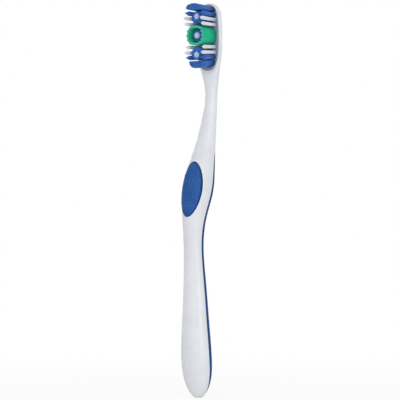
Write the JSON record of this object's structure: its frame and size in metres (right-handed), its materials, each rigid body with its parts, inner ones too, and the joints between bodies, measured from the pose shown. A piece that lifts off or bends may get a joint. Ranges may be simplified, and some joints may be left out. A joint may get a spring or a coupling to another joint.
{
  "type": "manual toothbrush",
  "caption": "Manual toothbrush: curved white handle with soft blue thumb pad and back cover, slim neck, and a tray head of blue and white bristle tufts around a green polishing cup.",
  "frame": {"origin": "middle of the small flat on the foot of the handle", "axes": "+Z from the foot to the tip of the head; the bristles face -Y; +X is to the right of someone facing the bristles"},
  "size_m": [0.0158, 0.022, 0.19],
  "materials": {
    "handle_white": "moulded polypropylene, satin gloss",
    "plate_grey": "moulded polypropylene",
    "soft_blue": "moulded thermoplastic elastomer, matt",
    "soft_green": "moulded thermoplastic elastomer, satin",
    "melted_nylon": "melted and set",
    "bristle_blue": "drawn nylon filament, end rounded",
    "bristle_white": "drawn nylon filament, end rounded",
    "bristle_pale_blue": "drawn nylon filament, end rounded"
  },
  "bodies": {
    "root": {"back_grip": "soft_blue", "bristle_plate": "plate_grey", "cup_core_tuft": "bristle_pale_blue", "cup_ring_tuft": "bristle_blue", "handle": "handle_white", "heel_tuft": "bristle_blue", "lower_core_tuft": "bristle_pale_blue", "lower_left_corner_tuft": "bristle_blue", "lower_left_inner_tuft": "bristle_white", "lower_left_outer_tuft": "bristle_white", "lower_right_corner_tuft": "bristle_blue", "lower_right_inner_tuft": "bristle_white", "lower_right_outer_tuft": "bristle_white", "lower_ring_tuft": "bristle_blue", "polishing_cup": "soft_green", "thumb_grip": "soft_blue", "tip_tuft": "bristle_blue", "tongue_cleaner": "soft_blue", "tuft_weld": "melted_nylon", "upper_core_tuft": "bristle_pale_blue", "upper_left_corner_tuft": "bristle_blue", "upper_left_inner_tuft": "bristle_white", "upper_left_outer_tuft": "bristle_white", "upper_right_corner_tuft": "bristle_blue", "upper_right_inner_tuft": "bristle_white", "upper_right_outer_tuft": "bristle_white", "upper_ring_tuft": "bristle_blue"}
  },
  "joints": []
}
